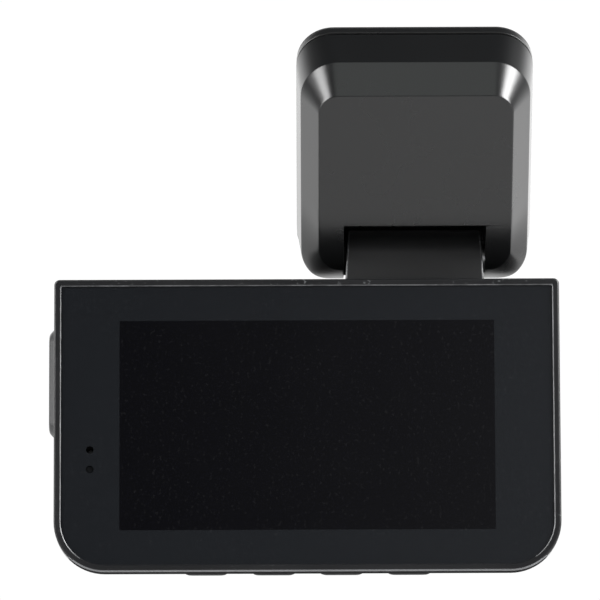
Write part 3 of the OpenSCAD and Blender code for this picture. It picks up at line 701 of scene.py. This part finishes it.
def make_rear_frame():
    inner = 1.25
    edge_r = 0.42
    chamfer = 0.17
    seat = 1.4
    loops = [body_loop(inner, seat), body_loop(inner, chamfer - LIP), body_loop(inner - chamfer, -LIP)]
    loops += [body_loop(inner - chamfer - 0.05, -LIP), body_loop(edge_r + 0.05, -LIP)]
    for angle in (0, 18, 36, 54, 72, 90):
        a = math.radians(angle)
        loops.append(body_loop(edge_r * (1 - math.sin(a)), -LIP + edge_r * (1 - math.cos(a))))
    loops += [body_loop(0, 0.4), body_loop(0, FRAME_DEPTH - 0.14), body_loop(0.12, FRAME_DEPTH - 0.01)]
    window = outline(*FRAME_WINDOW, 0.3, 0.3, 16)
    loops += [[in_camera(x, y, z) for x, z in window] for y in (FRAME_DEPTH - 0.01, seat)]
    # Rows between loops that show a painted highlight on the inner edge, a painted highlight on the outer
    # rounding, or a matt band instead of the plain plastic
    slots = {1: 1, 6: 2, 7: 2, 8: 2, 9: 3, 10: 3, 11: 3}
    obj = loft("rear", loops, closed=True, slot_of=lambda row: slots.get(row, 0))
    holes = [
        turned("hole", lambda a, b, c, z=z: in_camera(DOT_X + b, a, z + c), [(0.5, 0.8), (5, 0.8)], 32)
        for z in (MIC_Z, LED_Z)
    ]
    combine(obj, join(holes), "DIFFERENCE")
    # The painted highlight on the inner edge stops along the bottom; the painted highlight on the outer
    # rounding and the matt band are there alone
    for face in obj.data.polygons:
        below = face.center.z / MM - CAMERA_AT.z < -BODY_H / 2 + 2.5
        if not (face.material_index > 1 if below else face.material_index == 1):
            face.material_index = 0
    return obj


rear = make_rear_frame()
finish_edges(rear)
# The second and third materials are painted highlights, on the inner edge and on the bottom rounding
stand_in(rear, "camera", "rear_frame", "case_plastic", CASE, EDGE_HIGHLIGHT, BOTTOM_HIGHLIGHT, UNDERSIDE)

GLASS_T = GLASS_HIGH.y - GLASS_LOW.y
GLASS_W, GLASS_H = GLASS_HIGH.x - GLASS_LOW.x, GLASS_HIGH.z - GLASS_LOW.z
GLASS_CORNER, HOLE_R = 7.6, 0.68
# The lit area of the panel behind the glass
PANEL_W, PANEL_H = 66.4, 37.35


def make_glass():
    def loop(inset, y):
        return [
            in_camera(x, y, z)
            for x, z in outline(GLASS_W - 2 * inset, GLASS_H - 2 * inset, 0.3, GLASS_CORNER - inset, 16)
        ]

    obj = loft("glass", [loop(0, GLASS_T), loop(0, 0.1), loop(0.03, 0.03), loop(0.1, 0.0)])
    holes = [
        turned("hole", lambda a, b, c, z=z: in_camera(DOT_X + b, a, z + c), [(-1, HOLE_R), (3, HOLE_R)], 40)
        for z in (MIC_Z, LED_Z)
    ]
    combine(obj, join(holes), "DIFFERENCE")
    # The outline of the panel is cut into the face, so that the border can be another shade
    work = bmesh.new()
    work.from_mesh(obj.data)
    for axis, half in ((0, PANEL_W / 2), (2, PANEL_H / 2)):
        for side in (-1, 1):
            at = Vector((0, 0, 0))
            at[axis] = side * half
            normal = Vector((0, 0, 0))
            normal[axis] = 1
            bmesh.ops.bisect_plane(
                work, geom=work.verts[:] + work.edges[:] + work.faces[:], dist=1e-8,
                plane_co=in_camera(*at), plane_no=normal
            )
    for face in work.faces:
        at = face.calc_center_median() / MM - CAMERA_AT
        inside = abs(at.x) < PANEL_W / 2 and abs(at.z) < PANEL_H / 2 and at.y < 0.05
        face.material_index = 1 if inside else 0
    work.to_mesh(obj.data)
    work.free()
    return obj


glass = make_glass()
finish_edges(glass)
stand_in(glass, "camera", "display_glass", "cover_glass", MASK, SCREEN)

# ------------------------------------------------------------------ front housing

SIDE_END = 15.5
WALL = 1.8
# The underside climbs towards the front by this share of the depth
SLOPE = 0.198
FRONT_RISE = SLOPE * (SIDE_END - FRAME_DEPTH)
LENS_LOW, LENS_HIGH = camera_box("lens_bezel")
LENS_X, LENS_Z = (LENS_LOW.x + LENS_HIGH.x) / 2, (LENS_LOW.z + LENS_HIGH.z) / 2
LENS_FRONT = LENS_HIGH.y
BEZEL_R = (LENS_HIGH.x - LENS_LOW.x) / 2
# Openings, as places in the camera frame
SCREW_SPOTS = ((-40.4, 21.6), (40.4, 21.6), (-38.6, -15.6), (38.6, -15.6))
SPEAKER_X, SPEAKER_Z = -23, 6
GRILLE_RINGS = ((1, 0), (6, 2.4), (12, 4.8))
BUTTON_PITCH = 12
PORT_RECESS = ((-46, 4.4, -1.65), (-43.35, 12.6, 18.65))
USB_OPENING = ((-44, 7.9, 3.9), (-42.5, 11.4, 13.1))
CARD_OPENING = ((-44, 5.5, 1.4), (-42.5, 7.1, 15.6))


def on_lens(a, b, c):
    """A point by its depth and its place across from the lens's axis."""
    return in_camera(LENS_X + b, a, LENS_Z + c)


def make_housing():
    def rise(y):
        return min(SLOPE * (y - FRAME_DEPTH), FRONT_RISE)

    def low_r(y):
        return LOW_CORNER - (y - FRAME_DEPTH) / (SIDE_END - FRAME_DEPTH)

    start = FRAME_DEPTH + 0.01
    loops = [body_loop(0.12, start, 0), body_loop(0, start + 0.13, rise(start + 0.13))]
    loops += [body_loop(0, y, rise(y), low_r(y)) for y in (6, 9, 12, 14, SIDE_END)]
    for i in range(1, 11):
        a = math.radians(9 * i)
        inset, y = 3.2 * (1 - math.cos(a)), SIDE_END + 3.0 * math.sin(a)
        loops.append(body_loop(inset, y, FRONT_RISE, LOW_CORNER - 1))
    obj = loft("housing", loops)
    inside = []
    rows = [(start - 1, 0, 0), (start, 0, 0), (SIDE_END, FRONT_RISE, 0), (SIDE_END + 1.2, FRONT_RISE, 1.2)]
    for y, up, more in rows:
        inset = WALL + more
        loop = outline(BODY_W - 2 * inset, BODY_H - 2 * inset - up, 0.6, LOW_CORNER - inset, 16)
        inside.append([in_camera(x, y, z + up / 2) for x, z in loop])
    combine(obj, loft("inside", inside), "DIFFERENCE")
    # The lens boss grows out of the front with a small fillet
    boss = [(17.5, 12.6), (18.4, 14.2), (18.52, 14.0), (18.72, 13.62), (19.05, 13.28), (19.5, 13.1)]
    boss += [(22.0, 12.28), (LENS_FRONT - 1.0, BEZEL_R)]
    combine(obj, turned("boss", on_lens, boss, 96), "UNION")
    cutters = [turned("bore", on_lens, [(10, 9.0), (30, 9.0)], 80)]
    for x, z in SCREW_SPOTS:
        place = lambda a, b, c, x=x, z=z: in_camera(x + b, a, z + c)
        cutters.append(turned("screw", place, [(14, 1.8), (18.3, 1.8), (19.5, 3.0)], 40))
    for i in range(4):
        x = (i - 1.5) * BUTTON_PITCH
        cutters.append(block("slot", in_camera, (x - 4.1, 6.0, -30), (x + 4.1, 9.8, -20)))
    for count, ring in GRILLE_RINGS:
        for i in range(count):
            turn = math.tau * (i + 1) / count
            x, z = SPEAKER_X + ring * math.cos(turn), SPEAKER_Z + ring * math.sin(turn)
            place = lambda a, b, c, x=x, z=z: in_camera(x + b, a, z + c)
            cutters.append(turned("grille", place, [(16, 0.6), (18.35, 0.6), (18.7, 0.95)], 24))
    for i in range(8):
        x = -34 + 4 * i
        cutters.append(block("vent", in_camera, (x - 0.7, 7, 23.3), (x + 0.7, 13, 27)))
    cutters.append(block("port", in_camera, *PORT_RECESS))
    combine(obj, join(cutters), "DIFFERENCE")
    # These two overlap the port recess, so they are cut on their own
    for name, opening in (("socket", USB_OPENING), ("card", CARD_OPENING)):
        combine(obj, block(name, in_camera, *opening), "DIFFERENCE")
    return obj


housing = make_housing()
finish_edges(housing, 0.12, 2, 50)
stand_in(housing, "camera", "front_housing", "case_plastic", CASE)

# ------------------------------------------------------------------ buttons and port cover


def make_button(node):
    low, high = camera_box(node)
    x = (low.x + high.x) / 2
    half, y0, y1 = 3.9, 6.2, 9.6
    flange_low = high.z - 0.7
    middle = (y0 + y1) / 2
    loops = []
    # (inset, height above the lowest point): a domed face, then a straight side up to the flange
    rows = [(1.25, 0), (0.7, 0.05), (0.3, 0.2), (0.08, 0.45), (0, 0.8), (0, flange_low - low.z)]
    for inset, up in rows:
        r = 0.9 * (1.3 - inset * 0.5)
        face = outline(2 * (half - inset), y1 - y0 - 1.6 * inset, r, r, 10)
        loops.append([in_camera(x + a, middle + b, low.z + up) for a, b in face])
    flange = outline(2 * half + 1.6, y1 - y0 + 1.6, 1.2, 1.2, 10)
    for z in (flange_low, high.z):
        loops.append([in_camera(x + a, middle + b, z) for a, b in flange])
    return loft(node + "_cap", loops)


for name in ("button_power", "button_menu", "button_ok", "button_lock"):
    cap = make_button(name)
    finish_edges(cap)
    stand_in(cap, name, name, "button_plastic", BUTTON)


def make_cover():
    low, high = camera_box("port_cover")
    wall_x = -BODY_W / 2
    proud = low.x
    z0, z1 = low.z, high.z
    middle, half = (z0 + z1) / 2, (z1 - z0) / 2
    y0, y1 = 4.6, 10.6
    pin_y = 11.6
    inner = wall_x + 0.9
    loops = []
    # (x, inset across, inset along): a domed pad with rounded ends
    for x, across, along in (
        (inner, 0.0, 0.0), (wall_x + 0.1, 0.0, 0.0), (wall_x - 0.05, 0.06, 0.1), (wall_x - 0.5, 0.55, 0.5),
        (proud + 0.25, 0.9, 0.95), (proud + 0.1, 1.08, 1.2), (proud + 0.02, 1.35, 1.6), (proud, 1.8, 2.2),
    ):
        w, h = y1 - y0 - 2 * across, 2 * (half - along)
        r = max(0.25, min(w, h) * 0.42) if x < wall_x else 0.8
        loops.append([
            in_camera(x, (y0 + y1) / 2 + a, middle + b) for a, b in outline(w, h, r, r, 12)
        ])
    obj = loft("cover", loops)
    place = lambda a, b, c: in_camera(wall_x + 0.6 + b, pin_y + c, a)
    knuckle = turned("knuckle", place, [(z0 + 0.05, 0.75), (z1 - 0.05, 0.75)], 40)
    combine(obj, knuckle, "UNION")
    arm = block("arm", in_camera, (wall_x + 0.02, 9.5, z0 + 0.8), (wall_x + 0.88, pin_y, z1 - 0.8))
    combine(obj, arm, "UNION")
    combine(obj, turned("bore", place, [(z0 - 1, 0.45), (z1 + 1, 0.45)], 32), "DIFFERENCE")
    return obj


cover = make_cover()
finish_edges(cover, 0.08, 2, 50)
stand_in(cover, "port_cover", "port_cover", "case_plastic", COVER)

# ------------------------------------------------------------------ carried-over CAD nodes

replaced = {
    "mount_shell", "mount_base_plate", "adhesive_pad", "hinge_neck", "rear_frame", "display_glass",
    "front_housing", "port_cover", "button_power", "button_menu", "button_ok", "button_lock",
}
node_slots = {entry["node"]: entry["material_slot"] for entry in RECORD["subparts"]}
for name, obj in frame["nodes"].items():
    dress(obj, SLOT_MATERIALS[node_slots[name]])
    if name in replaced:
        continue
    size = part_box(name)[1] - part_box(name)[0]
    mod = obj.modifiers.new("round", "BEVEL")
    mod.width = min(0.12 * MM, min(size) * 0.12)
    mod.segments = 2
    mod.limit_method = "ANGLE"
    mod.angle_limit = math.radians(40)

# ------------------------------------------------------------------ studio


def emitter(name, at, target, size, power, color=(1, 1, 1)):
    """A soft rectangular lamp that the camera doesn't see."""
    data = bpy.data.lights.new(name, "AREA")
    data.shape = "RECTANGLE"
    data.size, data.size_y = size
    data.energy = power
    data.color = color
    obj = bpy.data.objects.new(name, data)
    obj.location = at
    obj.rotation_euler = (Vector(target) - Vector(at)).to_track_quat("-Z", "Y").to_euler()
    obj.visible_camera = False
    bpy.context.scene.collection.objects.link(obj)
    return obj


CENTRE = (CAD_BOX[0] + CAD_BOX[1]) / 2
emitter("key", CENTRE + Vector((0.83, -0.31, 0.46)), CENTRE, (0.42, 0.75), 29.0)
emitter("fill", CENTRE + Vector((-0.80, -0.36, 0.50)), CENTRE, (0.42, 0.62), 12.0)
emitter("left_side", CENTRE + Vector((-0.95, -0.22, 0.12)), CENTRE, (0.3, 0.5), 4.0)
emitter("front_top", CENTRE + Vector((0, -0.6, 0.8)), CENTRE, (0.5, 0.5), 0.85, (0.95, 1.0, 0.97))

world = bpy.data.worlds.new("studio")
bpy.context.scene.world = world
world.use_nodes = True
tree = world.node_tree
tree.nodes.clear()
output = tree.nodes.new("ShaderNodeOutputWorld")
seen = tree.nodes.new("ShaderNodeBackground")
seen.inputs["Color"].default_value = (1, 1, 1, 1)
seen.inputs["Strength"].default_value = 1.02
cast = tree.nodes.new("ShaderNodeBackground")
path = tree.nodes.new("ShaderNodeLightPath")
choose = tree.nodes.new("ShaderNodeMixShader")
coord = tree.nodes.new("ShaderNodeTexCoord")
split = tree.nodes.new("ShaderNodeSeparateXYZ")
tree.links.new(coord.outputs["Generated"], split.inputs[0])


def world_step(axis, start, end, low, high):
    """Brightness that changes smoothly with a direction's share of one axis."""
    node = tree.nodes.new("ShaderNodeMapRange")
    node.interpolation_type = "SMOOTHSTEP"
    for socket, number in zip(("From Min", "From Max", "To Min", "To Max"), (start, end, low, high)):
        node.inputs[socket].default_value = number
    tree.links.new(split.outputs[axis], node.inputs["Value"])
    return node.outputs["Result"]


def world_math(operation, a, b):
    """Two brightnesses combined."""
    node = tree.nodes.new("ShaderNodeMath")
    node.operation = operation
    tree.links.new(a, node.inputs[0])
    tree.links.new(b, node.inputs[1])
    return node.outputs[0]


# The light comes from behind and the sides; in front and overhead it is dim
behind = world_step("Y", 0.15, 0.75, 0.07, 2.25)
level = world_math("MULTIPLY", behind, world_step("Z", 0.3, 0.8, 1.0, 0.08))
level = world_math("MULTIPLY", level, world_step("X", -0.35, 0.35, 0.86, 1.08))
# A faint glow in front on the right, which the glass mirrors
glow = world_math("MULTIPLY", world_step("X", -0.06, 0.16, 0.0, 0.4), world_step("Y", -0.9, -0.5, 1.0, 0.0))
level = world_math("ADD", level, glow)
tree.links.new(level, cast.inputs["Strength"])
tree.links.new(path.outputs["Is Camera Ray"], choose.inputs["Fac"])
tree.links.new(cast.outputs[0], choose.inputs[1])
tree.links.new(seen.outputs[0], choose.inputs[2])
tree.links.new(choose.outputs[0], output.inputs["Surface"])

FLOOR_Z, FLOOR_HALF = -0.45, 4.0
corners = [(x * FLOOR_HALF, y * FLOOR_HALF, FLOOR_Z) for x, y in ((-1, -1), (1, -1), (1, 1), (-1, 1))]
floor = mesh_object("floor", corners, [(0, 1, 2, 3)])
paper = Nodes("pale_floor")
grain = paper.noise(60.0, 3.0)
# Away from the camera the paper is lit by itself, so that it stays pale out to the edge
spread = paper.add("ShaderNodeVectorMath", operation="LENGTH")
paper.link(paper.coord, spread.inputs[0])
paper.set(
    Base_Color=paper.mix(paper.span(grain, 0.3, 0.7, 0.0, 1.0), (0.5, 0.5, 0.5), (0.54, 0.54, 0.54)),
    Roughness=0.85, Emission_Color=(1.0, 1.0, 1.0),
    Emission_Strength=paper.span(spread.outputs["Value"], 0.35, 1.3, 0.0, 0.75)
)
dress(floor, paper.mat)

# ------------------------------------------------------------------ camera

# From a little below, with a trace of roll
ELEVATION = math.radians(9.12)
ROLL = math.radians(0.209)
DISTANCE = 1.0
TARGET = (CAMERA_AT + Vector((-1.19, 0, 22.33))) * MM
view = Vector((0, math.cos(ELEVATION), math.sin(ELEVATION)))
up = Vector((0, -math.sin(ELEVATION), math.cos(ELEVATION)))
right = Vector((1, 0, 0))
rolled_up = up * math.cos(ROLL) + right * math.sin(ROLL)
rolled_right = right * math.cos(ROLL) - up * math.sin(ROLL)
lens = bpy.data.cameras.new("camera")
lens.lens = 338.2
lens.sensor_width = 36
lens.clip_end = 50
shooter = bpy.data.objects.new("camera", lens)
bpy.context.scene.collection.objects.link(shooter)
shooter.matrix_world = Matrix.Translation(TARGET - view * DISTANCE) @ Matrix(
    (rolled_right, rolled_up, -view)
).transposed().to_4x4()
bpy.context.scene.camera = shooter
bpy.context.scene.view_settings.view_transform = "Standard"
bpy.context.scene.view_settings.look = "None"
